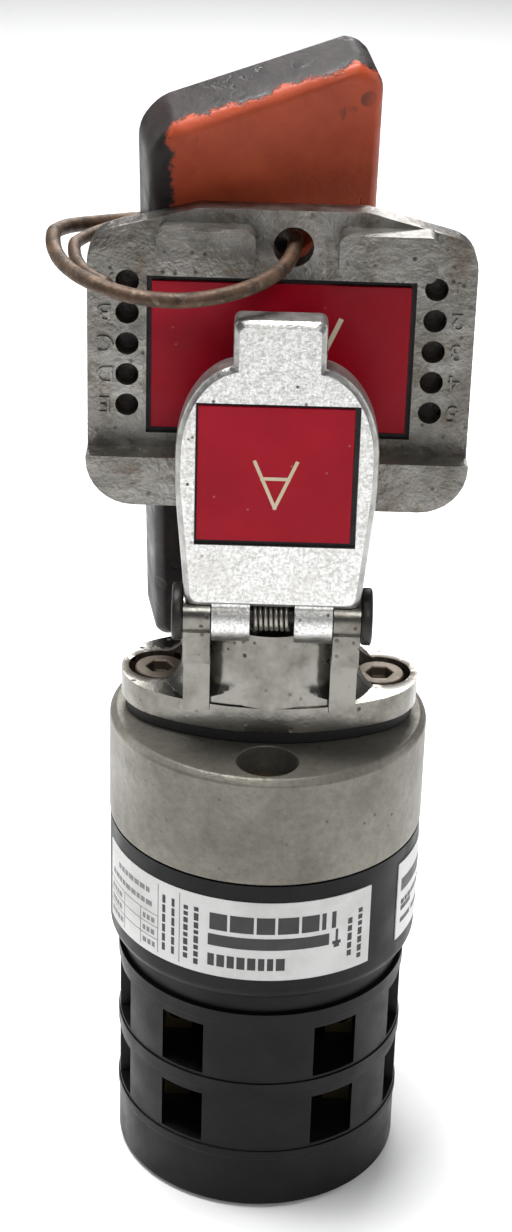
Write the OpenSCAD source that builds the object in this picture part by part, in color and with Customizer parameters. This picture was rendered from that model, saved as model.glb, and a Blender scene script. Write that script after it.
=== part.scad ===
// Key-operated rotary cam switch: contact stages, latch housing, cast collar,
// flanged lock with a sprung dust cover, and a captive key carrying a ring and tag.
// Origin at the centre of the flat base, +Z towards the key, -Y towards the dust cover.

/* [Switch body] */
// Radius of the end cap and contact stages
stage_r = 23.5; // [22.5:0.5:24.5]
// Height of the end cap
cap_h = 11.3; // [10:0.1:13]
// Height of one contact stage
stage_h = 13.3; // [13:0.1:15]
// Radius of the latch housing
latch_r = 24.9; // [24.5:0.1:26]
// Radius of the cast collar
collar_r = 25; // [24.8:0.1:26]

/* [Lock] */
// Half length of the oval flange
flange_half = 23.2; // [22.8:0.1:24]
// Half depth of the oval flange
flange_depth = 14; // [13.5:0.1:14.5]
// Radius of the lock barrel housing
body_r = 14; // [13.9:0.1:14.2]
// Radius of the turning lock barrel
barrel_r = 8.5; // [8:0.1:8.6]

/* [Dust cover] */
// Widest half width of the cover
cover_half = 14.6; // [14:0.1:15]
// Length of the cover above its hinge axis
cover_len = 46.4; // [44:0.1:47]
// Thickness of the cover plate
cover_t = 5; // [4.5:0.1:5]

/* [Key] */
// Half width of the key head
key_half = 28; // [27:0.5:29]
// Height of the top edge of the key head
key_top = 162.3; // [161:0.1:164]
// Diameter of the ring wire
wire_d = 2.2; // [1.8:0.1:2.4]
// Radius of the ring to the middle of its wire
ring_r = 17.3; // [17:0.1:17.6]

/* [Tag] */
// Width of the tag
tag_w = 34; // [30:1:35]
// Thickness of the tag
tag_t = 10; // [8:0.5:10]
// Angle that the tag leans out at its lower end
tag_lean = 18; // [16:1:20]
// Angle that the tag is turned about the upright
tag_turn = 14; // [10:1:16]
// Angle that the tag is tipped sideways in its own plane
tag_tip = 4.6; // [3:0.1:6]

/* [Hidden] */
$fn = 96;
eps = 0.01;
small_fn = 32;

// Levels up the body
z_stage_1 = cap_h;
z_stage_2 = cap_h + stage_h;
z_latch = z_stage_2 + stage_h;
z_latch_body = z_latch + 3.3;
z_collar = z_latch + 24.5;
z_gasket = z_collar + 18.4;
z_flange = z_gasket + 2.3;
z_flange_top = z_flange + 4.1;
z_lock_top = z_flange_top + 14.9;
neck_r = 22.7;

// Wire and terminal windows
window_in = 8.8;
window_out = 15.4;
side_window_in = 3.4;
side_window_out = 10;
window_low = 0.6;
window_high = 9.8;

// Drive
shaft_w = 6;
cam_r0 = 5.6;
cam_rise = 0.95;
plunger_gap = 0.15;
plunger_travel = 1.5;
tie_y = 16.5;
collar_screw_y = 18.5;
flange_screw_x = 17.2;

// Hinge
hinge_y = -15;
hinge_z = z_lock_top + 1.6;
knuckle_r = 4.2;
cover_low = 2;
ear_r = 3.3;
ear_in = 9.1;
ear_out = 13.1;
ear_front = -2.2;
ear_foot = 2;
ear_step = 9;
knuckle_in = 3.3;
knuckle_out = 8.9;
boss_relief_r = 10.3;
boss_step = 7;
pin_r = 1.5;
flare_r = 4.5;
plate_front = 3.5;
plate_back = plate_front - cover_t;
plate_clear_r = 3.6;

// Key
plate_y0 = -5.5;
plate_y1 = -1.5;
boss_r = 13.4;
boss_top = 118.5;
ledge_h = 7.5;
ledge_y0 = -10;
ledge_y1 = 4;
hole_x = 1.5;
hole_z = 157;
key_hole_r = 2.9;
lug_gap = 12.9;
lug_x = 2;
code_x = 22.2;
code_z0 = 132.5;
code_pitch = 4.7;

// Ring and tag
ring_y = -3;
ring_drop = 12;
ring_fold = 6;
tag_at = [-3.1, 8.3, 159.2];
tag_hole_r = 3.8;
tag_hole_x = -1.3;
tag_hole_z = -3.6;
tag_hole_slant = 38;
tag_hole_tilt = -15.5;
tag_low = -82;
tag_left = -17.6;
tag_high = 19.4;

function arc(cx, cy, r, a0, a1, n) =
  [for (i = [0 : n]) [cx + r * cos(a0 + (a1 - a0) * i / n), cy + r * sin(a0 + (a1 - a0) * i / n)]];

module tube(r_out, r_in, h) {
  difference() {
    cylinder(r = r_out, h = h);
    translate([0, 0, -1]) cylinder(r = r_in, h = h + 2);
  }
}

module along_x(x0, x1, r) {
  translate([x0, 0, 0]) rotate([0, 90, 0]) cylinder(r = r, h = x1 - x0, $fn = small_fn);
}

module block(low, high) {
  translate(low) cube(high - low);
}

module socket_screw(head_r, head_h, shank_r, length) {
  difference() {
    union() {
      translate([0, 0, -head_h]) cylinder(r = head_r, h = head_h, $fn = small_fn);
      translate([0, 0, -head_h - length]) cylinder(r = shank_r, h = length + eps, $fn = small_fn);
    }
    translate([0, 0, -head_h * 0.6]) cylinder(r = head_r * 0.55, h = head_h, $fn = 6);
  }
}

// Lens-shaped outline of the flange: two long arcs and two round ends
module lens(half, depth) {
  end_r = 10.6 - (flange_half - half);
  end_x = half - end_r;
  big_r = (end_x * end_x + depth * depth - end_r * end_r) / (2 * (depth - end_r));
  side = atan2(end_x, big_r - depth);
  polygon(concat(
    arc(end_x, 0, end_r, -90 + side, 90 - side, 12),
    arc(0, depth - big_r, big_r, 90 - side, 90 + side, 18),
    arc(-end_x, 0, end_r, 90 + side, 270 - side, 12),
    arc(0, big_r - depth, big_r, 270 - side, 270 + side, 18)));
}

module end_cap() {
  color("#1d1e20") difference() {
    rotate_extrude() polygon([[0, 0], [stage_r - 1, 0], [stage_r - 0.2, 0.8],
      [stage_r - 0.2, cap_h - 1.6], [stage_r, cap_h - 1.4], [stage_r, cap_h], [0, cap_h]]);
    difference() {
      translate([0, 0, 3]) cylinder(r = stage_r - 2.6, h = cap_h);
      cylinder(r = 7, h = cap_h);
      for (s = [-1, 1]) translate([0, s * tie_y, 0]) cylinder(r = 4, h = cap_h, $fn = small_fn);
    }
    translate([0, 0, 1.5]) cylinder(r = 3.45, h = cap_h);
    for (s = [-1, 1]) translate([0, s * tie_y, -1]) {
      cylinder(r = 3.2, h = 4, $fn = small_fn);
      cylinder(r = 1.65, h = cap_h + 2, $fn = small_fn);
    }
  }
}

module terminal_windows() {
  for (s = [-1, 1]) for (t = [-1, 1]) {
    x0 = s > 0 ? window_in : -window_out;
    y0 = t > 0 ? side_window_in : -stage_r - 2;
    block([x0, y0, window_low],
      [x0 + window_out - window_in, y0 + stage_r + 2 - side_window_in, window_high]);
    u0 = s > 0 ? window_in : -stage_r - 2;
    v0 = t > 0 ? side_window_in : -side_window_out;
    block([u0, v0, window_low],
      [u0 + stage_r + 2 - window_in, v0 + side_window_out - side_window_in, window_high]);
  }
}

// Chamber for the cam, slots for the two plungers and channels for their bridges
module cam_chamber() {
  translate([0, 0, 2]) cylinder(r = 8.2, h = stage_h);
  translate([0, 0, -1]) cylinder(r = 4.8, h = stage_h);
  for (s = [-1, 1]) scale([s, 1, 1]) {
    block([0, -2.2, 3], [9.5, 2.2, 7.6]);
    block([7.6, -9.6, 2], [10.9, 9.6, window_high]);
    translate([0, 0, 5.3]) along_x(9, 19.6, 1.6);
  }
}

module contact_stage(z0) {
  color("#1a1b1d") translate([0, 0, z0]) difference() {
    rotate_extrude() polygon([[0, 0], [stage_r - 0.25, 0], [stage_r - 0.25, stage_h - 2.4],
      [stage_r, stage_h - 2.2], [stage_r, stage_h], [0, stage_h]]);
    terminal_windows();
    cam_chamber();
    for (s = [-1, 1]) translate([0, s * tie_y, -1]) cylinder(r = 1.65, h = stage_h + 2, $fn = small_fn);
  }
}

module contact_stage_1() { contact_stage(z_stage_1); }
module contact_stage_2() { contact_stage(z_stage_2); }

module tie_bolts() {
  color("#8f9094") for (s = [-1, 1]) translate([0, s * tie_y, 0.6]) {
    cylinder(r = 3.1, h = 2.4, $fn = small_fn);
    cylinder(r = 1.6, h = 43, $fn = small_fn);
  }
}

module at_terminals(z0) {
  for (s = [-1, 1]) for (t = [-1, 1]) translate([0, 0, z0]) scale([s, t, 1]) children();
}

module terminals(z0) {
  color("#b08d43") at_terminals(z0) difference() {
    block([10.95, 3.6, window_low], [15.3, 9.4, 7]);
    translate([13.2, 0, 4]) rotate([-90, 0, 0]) cylinder(r = 1.6, h = 20, $fn = small_fn);
  }
}

module terminals_1() { terminals(z_stage_1); }
module terminals_2() { terminals(z_stage_2); }

module terminal_screws(z0) {
  color("#9a9a98") at_terminals(z0) translate([15.3, 6.6, 4]) difference() {
    along_x(0, 2, 2.2);
    block([1.2, -3, -0.3], [3, 3, 0.3]);
  }
}

module terminal_screws_1() { terminal_screws(z_stage_1); }
module terminal_screws_2() { terminal_screws(z_stage_2); }

module latch_housing() {
  top = z_collar - z_latch;
  lower = z_latch_body - z_latch;
  color("#202124") translate([0, 0, z_latch]) difference() {
    rotate_extrude() polygon(concat([[0, 0], [neck_r, 0], [neck_r, lower]],
      arc(latch_r - 2.2, lower + 2.2, 2.2, -75, 0, 6), [[latch_r, top], [0, top]]));
    translate([0, 0, -1]) cylinder(r = 4.8, h = top);
    translate([0, 0, 7]) cylinder(r = 10.2, h = top);
    translate([0, 0, 20]) cylinder(r = 20.1, h = top);
    for (s = [-1, 1]) scale([s, 1, 1]) block([8, -3.1, 7.5], [19.4, 3.1, 20.5]);
    for (s = [-1, 1]) {
      translate([0, s * tie_y, -1]) cylinder(r = 1.65, h = 7.8, $fn = small_fn);
      translate([0, s * collar_screw_y, 12]) cylinder(r = 2.55, h = top, $fn = small_fn);
    }
  }
}

module latch_slides() {
  color("#d8d4c6") for (s = [-1, 1]) translate([0, 0, z_latch + 7.5]) scale([s, 1, 1]) {
    block([9.7, -3, 0], [13, 3, 9]);
    translate([9.7, 0, 0]) cylinder(r = 1.2, h = 9, $fn = small_fn);
  }
}

module latch_springs() {
  color("#a8aaad") for (s = [-1, 1]) translate([s * 13, 0, z_latch + 12]) scale([s, 1, 1])
    along_x(0, 6.4, 2);
}

module latch_cover() {
  color("#3a3b3e") translate([0, 0, z_latch + 20]) difference() {
    cylinder(r = 20, h = 2);
    translate([0, 0, -1]) cylinder(r = 8.6, h = 4);
    for (s = [-1, 1]) translate([0, s * collar_screw_y, -1]) cylinder(r = 2.8, h = 4, $fn = small_fn);
  }
}

// Thin label wrapped round the latch housing between two bearings
module wrapped_label(a0, a1, z0, z1) {
  t = 0.15;
  translate([0, 0, z0]) intersection() {
    tube(latch_r + t, latch_r, z1 - z0);
    translate([0, 0, -1]) linear_extrude(height = z1 - z0 + 2)
      polygon(concat([[0, 0]], arc(0, 0, 2 * latch_r, a0, a1, 6)));
  }
}

module rating_label() { color("#cfcfcb") wrapped_label(-165, -48, 45.5, 59.5); }
module side_label() { color("#cfcfcb") wrapped_label(-32, 30, 46, 60); }

module collar() {
  h = z_gasket - z_collar;
  color("#8d8a82") translate([0, 0, z_collar]) difference() {
    rotate_extrude() polygon([[0, 0], [collar_r - 0.4, 0], [collar_r, 0.5], [collar_r, h - 0.9],
      [collar_r - 0.9, h], [0, h]]);
    translate([0, 0, -1]) cylinder(r = 10.5, h = h + 2);
    for (s = [-1, 1]) {
      translate([0, s * collar_screw_y, -1]) cylinder(r = 2.6, h = h + 2, $fn = small_fn);
      translate([0, s * collar_screw_y, h - 8.4]) cylinder(r = 4.7, h = 10);
      translate([s * flange_screw_x, 0, 4]) cylinder(r = 2, h = h, $fn = small_fn);
    }
  }
}

module collar_screws() {
  color("#55534f") for (s = [-1, 1]) translate([0, s * collar_screw_y, z_gasket - 4])
    socket_screw(4.3, 4.4, 2.5, 21);
}

module gasket() {
  color("#141414") translate([0, 0, z_gasket]) difference() {
    linear_extrude(height = z_flange - z_gasket) lens(flange_half - 0.6, flange_depth - 0.6);
    translate([0, 0, -1]) cylinder(r = 10.2, h = 5);
    for (s = [-1, 1]) translate([s * flange_screw_x, 0, -1]) cylinder(r = 2.1, h = 5, $fn = small_fn);
  }
}

module ear(x0, x1) {
  translate([0, hinge_y, hinge_z]) {
    along_x(x0, x1, ear_r);
    block([x0, ear_front, z_flange_top + ear_step - hinge_z], [x1, 9, 0]);
    block([x0, ear_foot, z_flange_top - hinge_z - 1], [x1, 9, 0]);
  }
}

module lock_body() {
  color("#b9b6ae") difference() {
    union() {
      translate([0, 0, z_flange]) linear_extrude(height = z_flange_top - z_flange)
        lens(flange_half, flange_depth);
      rotate_extrude() polygon([[0, z_flange + 1], [body_r, z_flange + 1],
        [body_r, z_lock_top - 0.5], [body_r - 0.5, z_lock_top], [0, z_lock_top]]);
      intersection() {
        rotate_extrude() polygon(concat([[0, z_flange + 1], [body_r + flare_r, z_flange + 1]],
          arc(body_r + flare_r, z_flange_top + flare_r - 0.3, flare_r, 270, 180, 8),
          [[0, z_flange_top + flare_r - 0.3]]));
        translate([0, 0, z_flange]) linear_extrude(height = 20) lens(flange_half - 0.4, flange_depth - 0.4);
      }
      ear(ear_in, ear_out);
      ear(-ear_out, -ear_in);
    }
    translate([0, 0, z_flange - 1]) cylinder(r = barrel_r + 0.05, h = z_lock_top - 1.5 - z_flange + 1);
    cylinder(r = barrel_r - 1.1, h = z_lock_top + 1);
    for (s = [-1, 1]) {
      translate([s * flange_screw_x, 0, z_flange - 1]) cylinder(r = 2.1, h = 8, $fn = small_fn);
      translate([s * flange_screw_x, 0, z_flange + 1]) cylinder(r = 4.9, h = 8);
    }
    translate([0, hinge_y, hinge_z]) {
      along_x(-ear_in, ear_in, knuckle_r + 0.3);
      along_x(-20, 20, pin_r + 0.05);
    }
    // Room for the key's round boss between the ears
    translate([0, 0, z_lock_top]) cylinder(r = body_r + 0.2, h = 20);
  }
}

module flange_screws() {
  color("#6d6a64") for (s = [-1, 1]) translate([s * flange_screw_x, 0, z_flange_top - 0.2])
    socket_screw(3.9, 2.9, 1.95, 14);
}

module lock_barrel() {
  color("#a39f94") difference() {
    union() {
      translate([0, 0, z_flange + 0.2]) cylinder(r = barrel_r, h = z_lock_top - 1.6 - z_flange - 0.2);
      translate([0, 0, z_flange]) cylinder(r = barrel_r - 1.2, h = z_lock_top - 0.1 - z_flange);
      translate([0, 0, 76]) cylinder(r = 6, h = z_flange - 76 + 1);
      block([-5.4, -2, 72.4], [5.4, 2, 77]);
    }
    block([-6.15, -2.15, z_lock_top - 15.3], [6.15, 2.15, z_lock_top + 1]);
    translate([0, 0, z_flange - 1.1]) tube(8, 5.4, 1);
  }
}

module barrel_clip() {
  color("#77797c") translate([0, 0, z_flange - 1.1]) tube(9.3, 5.4, 1);
}

module coupling() {
  color("#c9c6bb") difference() {
    translate([0, 0, 61]) cylinder(r = 8, h = 14.8);
    block([-5.5, -2.05, 72.3], [5.5, 2.05, 77]);
    block([-shaft_w / 2, -shaft_w / 2, 60], [shaft_w / 2, shaft_w / 2, 70]);
  }
}

module drive_shaft() {
  color("#8b8d90") {
    block([-shaft_w / 2, -shaft_w / 2, z_stage_1 + 0.3], [shaft_w / 2, shaft_w / 2, 69.8]);
    translate([0, 0, 1.8]) cylinder(r = 3.4, h = z_stage_1 - 1);
  }
}

// Cam with two equal lobes; its radius grows evenly over each rising part
module cam(first_r, rise) {
  difference() {
    linear_extrude(height = 5) polygon([for (half = [0, 180]) each concat(
      [for (a = [-15 : 7.5 : 105])
        [(first_r + rise * a * PI / 180) * cos(a + half), (first_r + rise * a * PI / 180) * sin(a + half)]],
      [for (a = [112.5 : 7.5 : 157.5])
        let (k = (a - 105) / 60, r = (first_r + rise * 105 * PI / 180) * (1 - k)
          + (first_r - rise * 15 * PI / 180) * k)
        [r * cos(a + half), r * sin(a + half)]])]);
    block([-shaft_w / 2, -shaft_w / 2, -1], [shaft_w / 2, shaft_w / 2, 6]);
  }
}

module cam_1() { color("#e0ddd2") translate([0, 0, z_stage_1 + 2.8]) cam(cam_r0, cam_rise); }
module cam_2() {
  color("#e0ddd2") translate([0, 0, z_stage_2 + 2.8]) cam(cam_r0 + plunger_travel, -cam_rise);
}

module star_wheel() {
  color("#dcd9ce") translate([0, 0, z_latch + 7.5]) difference() {
    cylinder(r = 8.2, h = 9);
    for (a = [0 : 90 : 270]) rotate(a) translate([10, 0, -1]) cylinder(r = 3, h = 11, $fn = small_fn);
    block([-shaft_w / 2, -shaft_w / 2, -1], [shaft_w / 2, shaft_w / 2, 11]);
  }
}

module on_side(side, z0) {
  translate([0, 0, z0]) scale([side, 1, 1]) children();
}

module plunger(x0) {
  color("#b8503a") difference() {
    block([x0, -2, 3.2], [x0 + 3.3, 2, 7.4]);
    block([x0 + 2.3, -3, 4.4], [x0 + 4, 3, 6.2]);
  }
}

module bridge(x0) {
  color("#c08a4a") block([x0 + 2.3, -8.8, 4.4], [x0 + 3.3, 8.8, 6.2]);
}

module return_spring(x0) {
  color("#a8aaad") translate([0, 0, 5.3]) along_x(x0 + 3.3, x0 + 11, 1.3);
}

out_1 = cam_r0 + plunger_gap;
out_2 = cam_r0 + plunger_travel + plunger_gap;
module plunger_1_right() { on_side(1, z_stage_1) plunger(out_1); }
module plunger_1_left() { on_side(-1, z_stage_1) plunger(out_1); }
module plunger_2_right() { on_side(1, z_stage_2) plunger(out_2); }
module plunger_2_left() { on_side(-1, z_stage_2) plunger(out_2); }
module bridge_1_right() { on_side(1, z_stage_1) bridge(out_1); }
module bridge_1_left() { on_side(-1, z_stage_1) bridge(out_1); }
module bridge_2_right() { on_side(1, z_stage_2) bridge(out_2); }
module bridge_2_left() { on_side(-1, z_stage_2) bridge(out_2); }
module spring_1_right() { on_side(1, z_stage_1) return_spring(out_1); }
module spring_1_left() { on_side(-1, z_stage_1) return_spring(out_1); }
module spring_2_right() { on_side(1, z_stage_2) return_spring(out_2); }
module spring_2_left() { on_side(-1, z_stage_2) return_spring(out_2); }

module hinge_pin() {
  color("#1c1b1b") translate([0, hinge_y, hinge_z]) {
    along_x(-ear_out - 1.7, ear_out + 1.7, pin_r);
    along_x(ear_out + 0.1, ear_out + 1.7, 4.3);
    along_x(-ear_out - 1.7, -ear_out - 0.1, 4.3);
  }
}

// Front outline of the dust cover: wide body, curved shoulders, narrow finger tab
module cover_outline(inset) {
  low_half = cover_half - 1.6 - inset;
  wide = cover_half - inset;
  tab = 6.6 - inset;
  top = cover_len - inset;
  shoulder_z = 25.8;
  neck_z = 39.6;
  half = concat([[low_half, cover_low + inset]],
    [for (i = [0 : 10]) let (a = i * 9)
      [tab + (wide - tab) * cos(a), shoulder_z + (neck_z - shoulder_z - inset) * sin(a)]],
    arc(tab - 1.2, top - 1.2, 1.2, 0, 90, 4));
  polygon(concat(half, [for (i = [len(half) - 1 : -1 : 0]) [-half[i][0], half[i][1]]]));
}

module cover_plate() {
  // The plate stands in the XZ plane, so the outline is turned upright
  rotate([90, 0, 0]) {
    translate([0, 0, plate_back]) linear_extrude(height = cover_t - 1.2) cover_outline(0);
    translate([0, 0, plate_front - 1.2 - eps]) linear_extrude(height = 0.6 + eps) cover_outline(0.6);
    translate([0, 0, plate_front - 0.6 - eps]) linear_extrude(height = 0.6 + eps) cover_outline(1.2);
  }
}

label_half = 11.7;
label_low = 12.4;
label_high = 34.2;
module dust_cover() {
  color("#c9c8c4") translate([0, hinge_y, hinge_z]) difference() {
    union() {
      difference() {
        cover_plate();
        along_x(-20, 20, plate_clear_r);
      }
      for (s = [-1, 1]) scale([s, 1, 1]) {
        along_x(knuckle_in, knuckle_out, knuckle_r);
        block([knuckle_in, -3.4, 0], [knuckle_out, 1.4, 4.6]);
      }
    }
    block([-label_half, -plate_front - 1, label_low], [label_half, -plate_front + 0.9, label_high]);
    along_x(-20, 20, pin_r + 0.05);
  }
}

module cover_label() {
  color("#a01428") translate([-0.25, hinge_y, hinge_z + 0.4])
    block([-11.15, -plate_front + 0.2, label_low + 0.3], [11.15, -plate_front + 0.9, label_high - 0.9]);
}

module cover_spring() {
  color("#6c6d6c") translate([0, hinge_y, hinge_z]) difference() {
    union() {
      along_x(-3, 3, 2.6);
      block([-0.3, -0.3 + 1.9, 0], [0.3, 0.3 + 1.9, 3.6]);
    }
    along_x(-4, 4, 1.9);
  }
}

// Upright outline of the key head: sloped shoulders and rounded corners
module head_outline(z0) {
  r = 5;
  slope = atan2(3.6, key_half - 14);
  right = concat([[key_half, z0]],
    arc(key_half - r, key_top - 3.6 - r + 0.6, r, 0, 90 - slope, 6), [[12, key_top]]);
  polygon(concat(right, [for (i = [len(right) - 1 : -1 : 0]) [-right[i][0], right[i][1]]]));
}

module ledge_outline() {
  r = 7;
  polygon(concat(arc(key_half - r, boss_top + r, r, -90, 0, 8), [[key_half, boss_top + ledge_h],
    [-key_half, boss_top + ledge_h]], arc(-key_half + r, boss_top + r, r, 180, 270, 8)));
}

module upright(y0, y1) {
  translate([0, y1, 0]) rotate([90, 0, 0]) linear_extrude(height = y1 - y0) children();
}

key_recess = [19.4, 128.2, 152.2];
module key_head() {
  color("#8f8e88") difference() {
    union() {
      upright(plate_y0, plate_y1) head_outline(boss_top + ledge_h - 1);
      upright(ledge_y0, ledge_y1) ledge_outline();
      for (s = [-1, 1]) upright(ledge_y0, plate_y0 + eps) translate([s * lug_gap + lug_x, 156.9])
        polygon(concat(arc(5.7, 2, 1.3, 0, 90, 4), arc(-5.7, 2, 1.3, 90, 180, 4),
          arc(-5.7, -2, 1.3, 180, 270, 4), arc(5.7, -2, 1.3, 270, 360, 4)));
    }
    block([-key_recess[0], plate_y0 - 1, key_recess[1]], [key_recess[0], plate_y0 + 1, key_recess[2]]);
    translate([hole_x, -20, hole_z]) rotate([-90, 0, 0]) cylinder(r = key_hole_r, h = 40, $fn = 48);
    for (s = [-1, 1]) for (i = [0 : 4])
      translate([s * code_x, plate_y0 - 1, code_z0 + i * code_pitch])
        rotate([-90, 0, 0]) cylinder(r = 1.7, h = 4, $fn = 24);
  }
}

module key_boss() {
  color("#93918a") translate([0, 0, z_lock_top + 0.1]) rotate_extrude() polygon([[0, 0],
    [boss_relief_r, 0], [boss_relief_r, boss_step], [boss_r, boss_step + 0.6],
    [boss_r, boss_top - z_lock_top - 0.1], [0, boss_top - z_lock_top - 0.1]]);
}

module key_blade() {
  color("#9d9a90") difference() {
    block([-6, -2, z_lock_top - 15], [6, 2, z_lock_top + 0.1]);
    for (i = [0 : 2]) for (s = [-1, 1])
      translate([s * 6, -3, z_lock_top - 12 + i * 4]) rotate([-90, 0, 0]) cylinder(r = 1, h = 6, $fn = small_fn);
  }
}

module key_label() {
  color("#8c0a14") block([-18.7, plate_y0 + 0.3, key_recess[1] + 0.8],
    [18.7, plate_y0 + 1, key_recess[2] - 0.8]);
}

module half_ring() {
  rotate_extrude(angle = 180) translate([ring_r, 0]) circle(d = wire_d, $fn = 24);
}

// The wire ring passes through the key hole at its right-hand side and is slightly folded there
module key_ring() {
  color("#6b4226") translate([hole_x + 0.2 - ring_r, ring_y, hole_z]) {
    rotate([ring_drop, 0, 0]) rotate([0, 0, 180]) half_ring();
    rotate([-ring_fold, 0, 0]) half_ring();
    for (s = [-1, 1]) translate([s * ring_r, 0, 0]) sphere(d = wire_d + 0.2, $fn = 24);
  }
}

// Tag outline in its own plane, with a slanted top edge and rounded top corners
module tag_outline(inset) {
  l = tag_left + inset;
  r = l + tag_w - 2 * inset;
  polygon(concat([[l, tag_low + inset], [r, tag_low + inset]],
    arc(r - 5, tag_high - inset, 5, 0, 78, 5), arc(l + 7, tag_high - 8 - inset, 7, 112, 180, 6)));
}

module tag() {
  color("#a8472c") translate(tag_at) rotate([0, 0, tag_turn]) rotate([tag_lean, 0, 0])
    rotate([0, -tag_tip, 0]) difference() {
    union() {
      upright(-tag_t / 2 + 1.6, tag_t / 2) tag_outline(0);
      upright(-tag_t / 2 + 0.8, -tag_t / 2 + 1.6 + eps) tag_outline(0.8);
      upright(-tag_t / 2, -tag_t / 2 + 0.8 + eps) tag_outline(1.6);
    }
    translate([tag_hole_x, 0, tag_hole_z]) rotate([tag_hole_tilt, 0, tag_hole_slant])
      rotate([90, 0, 0]) translate([0, 0, -20]) cylinder(r = tag_hole_r, h = 40, $fn = 48);
  }
}

end_cap();
contact_stage_1();
contact_stage_2();
tie_bolts();
terminals_1();
terminals_2();
terminal_screws_1();
terminal_screws_2();
latch_housing();
latch_slides();
latch_springs();
latch_cover();
rating_label();
side_label();
collar();
collar_screws();
gasket();
lock_body();
flange_screws();
lock_barrel();
barrel_clip();
coupling();
drive_shaft();
cam_1();
cam_2();
star_wheel();
plunger_1_right();
plunger_1_left();
plunger_2_right();
plunger_2_left();
bridge_1_right();
bridge_1_left();
bridge_2_right();
bridge_2_left();
spring_1_right();
spring_1_left();
spring_2_right();
spring_2_left();
hinge_pin();
dust_cover();
cover_label();
cover_spring();
key_head();
key_boss();
key_blade();
key_label();
key_ring();
tag();
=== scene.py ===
import math
import random

import bpy
import bmesh
from mathutils import Matrix, Vector


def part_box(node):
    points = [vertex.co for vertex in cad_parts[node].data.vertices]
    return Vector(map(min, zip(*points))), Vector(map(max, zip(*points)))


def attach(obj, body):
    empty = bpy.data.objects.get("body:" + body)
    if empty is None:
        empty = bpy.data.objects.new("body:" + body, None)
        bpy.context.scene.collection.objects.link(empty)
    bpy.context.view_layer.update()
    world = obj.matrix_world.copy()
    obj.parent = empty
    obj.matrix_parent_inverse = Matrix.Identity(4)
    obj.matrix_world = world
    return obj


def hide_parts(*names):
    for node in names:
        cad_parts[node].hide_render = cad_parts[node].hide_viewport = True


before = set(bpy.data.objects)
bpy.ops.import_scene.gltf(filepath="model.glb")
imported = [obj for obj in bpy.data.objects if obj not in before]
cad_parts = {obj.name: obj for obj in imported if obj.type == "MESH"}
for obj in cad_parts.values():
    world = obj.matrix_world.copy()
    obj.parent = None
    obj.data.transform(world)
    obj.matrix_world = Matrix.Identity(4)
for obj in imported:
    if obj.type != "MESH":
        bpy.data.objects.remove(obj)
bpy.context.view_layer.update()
MM = 0.001


# ---------- shader helpers ----------

class Shader:
    """A node material whose helpers return sockets."""

    def __init__(self, name, metallic=0.0, roughness=0.5, specular=0.5):
        self.mat = bpy.data.materials.new(name)
        self.mat.use_nodes = True
        self.tree = self.mat.node_tree
        self.bsdf = self.tree.nodes["Principled BSDF"]
        self.bsdf.inputs["Metallic"].default_value = metallic
        self.bsdf.inputs["Roughness"].default_value = roughness
        self.bsdf.inputs["Specular IOR Level"].default_value = specular
        self.place = self.tree.nodes.new("ShaderNodeTexCoord")

    def link(self, value, socket):
        if isinstance(value, bpy.types.NodeSocket):
            self.tree.links.new(value, socket)
        else:
            socket.default_value = value

    def coords(self, stretch=(1, 1, 1), turn=(0, 0, 0), shift=(0, 0, 0)):
        node = self.tree.nodes.new("ShaderNodeMapping")
        node.inputs["Scale"].default_value = stretch
        node.inputs["Rotation"].default_value = turn
        node.inputs["Location"].default_value = shift
        self.tree.links.new(self.place.outputs["Object"], node.inputs["Vector"])
        return node.outputs["Vector"]

    def noise(self, scale, detail=4, rough=0.6, where=None):
        node = self.tree.nodes.new("ShaderNodeTexNoise")
        node.inputs["Scale"].default_value = scale
        node.inputs["Detail"].default_value = detail
        node.inputs["Roughness"].default_value = rough
        self.tree.links.new(where or self.place.outputs["Object"], node.inputs["Vector"])
        return node.outputs["Fac"]

    def cells(self, scale, where=None):
        node = self.tree.nodes.new("ShaderNodeTexVoronoi")
        node.inputs["Scale"].default_value = scale
        self.tree.links.new(where or self.place.outputs["Object"], node.inputs["Vector"])
        return node.outputs["Distance"]

    def step(self, value, low, high, out_low=0.0, out_high=1.0):
        node = self.tree.nodes.new("ShaderNodeMapRange")
        self.link(value, node.inputs["Value"])
        node.inputs["From Min"].default_value = low
        node.inputs["From Max"].default_value = high
        node.inputs["To Min"].default_value = out_low
        node.inputs["To Max"].default_value = out_high
        return node.outputs["Result"]

    def math(self, kind, a, b=0.0):
        node = self.tree.nodes.new("ShaderNodeMath")
        node.operation = kind
        self.link(a, node.inputs[0])
        self.link(b, node.inputs[1])
        return node.outputs[0]

    def mix(self, amount, a, b):
        node = self.tree.nodes.new("ShaderNodeMix")
        node.data_type = "RGBA"
        self.link(amount, node.inputs["Factor"])
        for value, name in ((a, "A"), (b, "B")):
            socket = [s for s in node.inputs if s.name == name and s.type == "RGBA"][0]
            self.link(value if isinstance(value, bpy.types.NodeSocket) else (*value, 1), socket)
        return [s for s in node.outputs if s.type == "RGBA"][0]

    def xyz(self, vector):
        node = self.tree.nodes.new("ShaderNodeSeparateXYZ")
        self.tree.links.new(vector, node.inputs[0])
        return node.outputs

    def bump(self, height, strength, distance):
        node = self.tree.nodes.new("ShaderNodeBump")
        node.inputs["Strength"].default_value = strength
        node.inputs["Distance"].default_value = distance
        self.tree.links.new(height, node.inputs["Height"])
        old = self.bsdf.inputs["Normal"].links
        if old:
            self.tree.links.new(old[0].from_socket, node.inputs["Normal"])
        self.tree.links.new(node.outputs["Normal"], self.bsdf.inputs["Normal"])

    def set(self, name, value):
        self.link(value, self.bsdf.inputs[name])


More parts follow.
